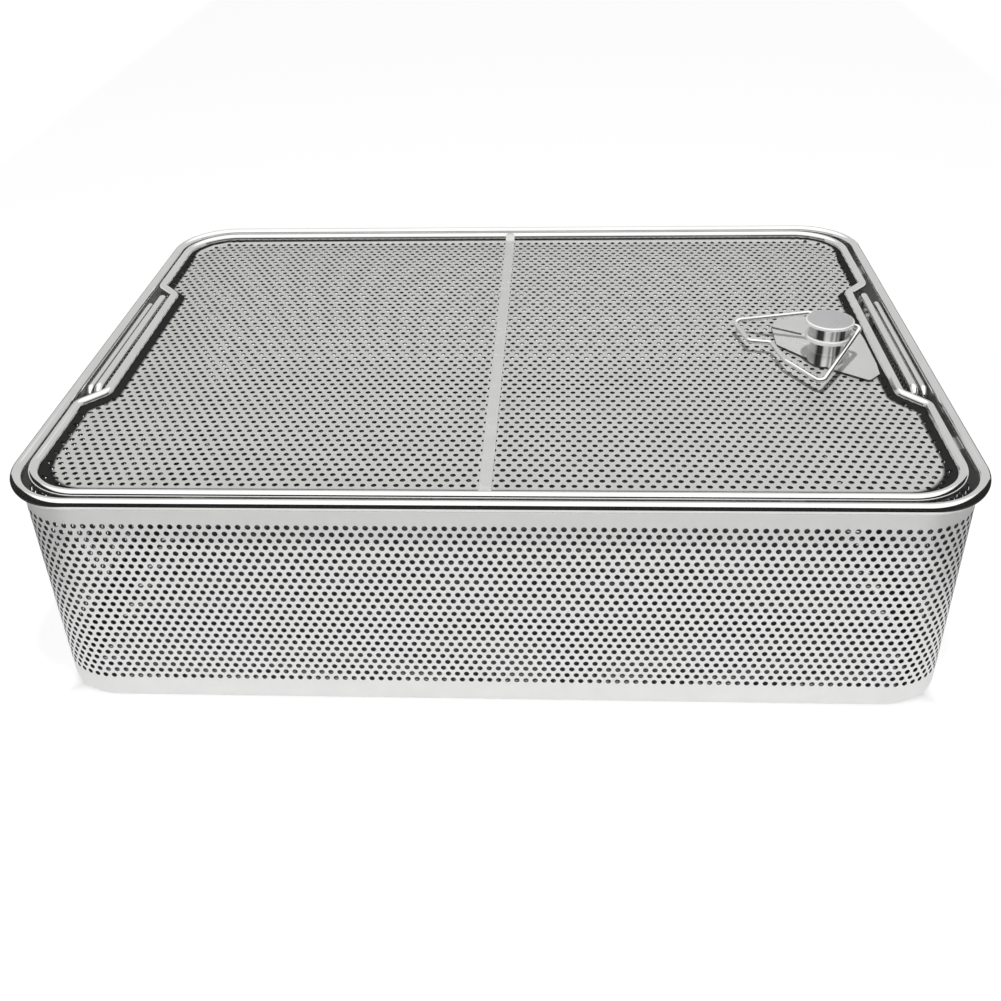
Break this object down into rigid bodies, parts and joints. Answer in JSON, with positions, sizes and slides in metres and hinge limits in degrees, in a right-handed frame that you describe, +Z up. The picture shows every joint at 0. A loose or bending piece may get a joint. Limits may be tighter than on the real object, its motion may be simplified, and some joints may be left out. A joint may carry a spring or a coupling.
{
  "type": "sterilization basket",
  "caption": "Flat-bottomed perforated steel basket with a round wire rim, lift-off perforated lid, drop handles sunk in the rim and a turning knob lock with a wire bail.",
  "frame": {"origin": "middle of the floor's underside, at the bottom centre of the bounding box", "axes": "+Z up; +X along the long side, towards the side with the lid lock; -Y is the front in the picture"},
  "size_m": [0.5, 0.38, 0.155],
  "materials": {
    "perforated_sheet": "electropolished perforated sheet",
    "plain_sheet": "electropolished plain sheet",
    "polished_wire": "bright electropolished round wire",
    "turned_steel": "turned and electropolished"
  },
  "bodies": {
    "basket": {"basket_wall": "perforated_sheet", "basket_floor": "perforated_sheet", "rim_tube": "polished_wire", "lid_rest_lugs": "plain_sheet", "guide_bar_left": "polished_wire", "guide_bar_right": "polished_wire", "handle_guides_left": "turned_steel", "handle_guides_right": "turned_steel"},
    "left_handle": {"handle_left": "polished_wire", "handle_collars_left": "turned_steel"},
    "right_handle": {"handle_right": "polished_wire", "handle_collars_right": "turned_steel"},
    "lid": {"lid_panel": "perforated_sheet", "lid_wire_front": "polished_wire", "lid_wire_back": "polished_wire", "lid_wire_left": "polished_wire", "lid_wire_right": "polished_wire", "lid_stiffener": "plain_sheet", "lock_plate": "plain_sheet", "lock_housing": "turned_steel"},
    "knob": {"lock_knob": "turned_steel", "lock_cap": "turned_steel", "lock_shaft": "turned_steel", "lock_washer": "turned_steel", "lock_tongue": "plain_sheet", "lock_nut": "turned_steel"},
    "bail": {"lock_bail": "polished_wire"}
  },
  "joints": [
    {"name": "lid_lift", "type": "slide", "parent": "basket", "child": "lid", "axis": [0, 0, 1], "range_m": [0, 0.15]},
    {"name": "left_handle_lift", "type": "slide", "parent": "basket", "child": "left_handle", "axis": [0, 0, 1], "range_m": [0, 0.038]},
    {"name": "right_handle_lift", "type": "slide", "parent": "basket", "child": "right_handle", "axis": [0, 0, 1], "range_m": [0, 0.038]},
    {"name": "lock_turn", "type": "hinge", "parent": "lid", "child": "knob", "pos_m": [0.1928, -0.024, 0.1287], "axis": [0, 0, 1], "range_deg": [0, 65]},
    {"name": "bail_swing", "type": "hinge", "parent": "knob", "child": "bail", "pos_m": [0.20082, -0.01402, 0.1487], "axis": [-0.7793, 0.6266, 0], "range_deg": [0, 105]}
  ]
}
